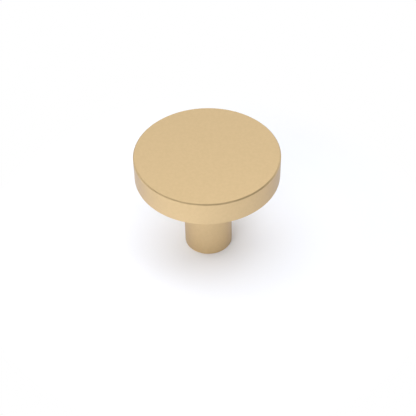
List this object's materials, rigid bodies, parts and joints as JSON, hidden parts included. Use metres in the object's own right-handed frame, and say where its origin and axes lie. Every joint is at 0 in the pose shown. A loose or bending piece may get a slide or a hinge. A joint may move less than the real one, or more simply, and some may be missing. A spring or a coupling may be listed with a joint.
{
  "type": "cabinet knob",
  "caption": "Round flat-faced knob on a straight round stem in satin gold metal, for pulling open a drawer or cabinet door; a screw through the front goes into the tapped hole in its foot.",
  "frame": {"origin": "centre of the foot of the stem, on the plane that seats on the drawer or door front", "axes": "+Z along the stem from the foot to the head's face; X and Y lie in the plane of the foot, and any turn about Z is the same part"},
  "size_m": [0.035, 0.035, 0.0285],
  "materials": {
    "satin_brass": "satin"
  },
  "bodies": {
    "root": {"knob": "satin_brass"}
  },
  "joints": []
}
